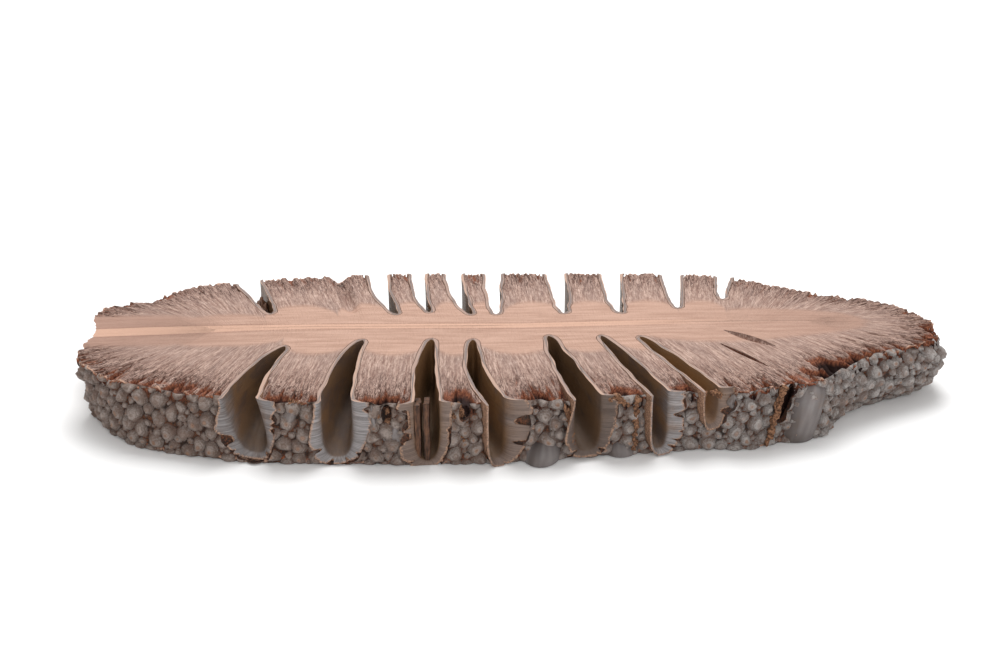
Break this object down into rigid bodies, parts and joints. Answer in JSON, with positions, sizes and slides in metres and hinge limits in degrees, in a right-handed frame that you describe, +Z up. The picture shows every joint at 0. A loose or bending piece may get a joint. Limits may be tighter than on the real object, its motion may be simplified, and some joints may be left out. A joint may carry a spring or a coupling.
{
  "type": "banksia cone slice",
  "caption": "Lengthwise saw-cut slab of a banksia cone: woody core, bract tissue with a pebbled rim, and open seed cases as slots along both long sides.",
  "frame": {"origin": "on the lower saw-cut face, under the middle of the slab's box", "axes": "+X along the cone from its stem end to its tip, +Y towards the back row of seed cases, +Z up, square to the saw cuts"},
  "size_m": [0.2582, 0.097, 0.019],
  "materials": {
    "cone_wood": "dry sawn, matt",
    "follicle_wall": "smooth weathered, satin",
    "seed_wood": "matt"
  },
  "bodies": {
    "root": {"cone_body": "cone_wood", "follicle_front_1": "follicle_wall", "follicle_front_2": "follicle_wall", "follicle_front_3": "follicle_wall", "follicle_front_4": "follicle_wall", "follicle_front_5": "follicle_wall", "follicle_front_6": "follicle_wall", "follicle_front_7": "follicle_wall", "follicle_front_8": "follicle_wall", "follicle_low_1": "follicle_wall", "follicle_low_2": "follicle_wall", "follicle_back_1": "follicle_wall", "follicle_back_3": "follicle_wall", "follicle_back_4": "follicle_wall", "follicle_back_5": "follicle_wall", "follicle_back_6": "follicle_wall", "follicle_back_7": "follicle_wall", "follicle_back_8": "follicle_wall", "follicle_back_9": "follicle_wall", "follicle_back_10": "follicle_wall", "seed_separator_front_3": "seed_wood", "seed_remains_back_3": "seed_wood"}
  },
  "joints": []
}
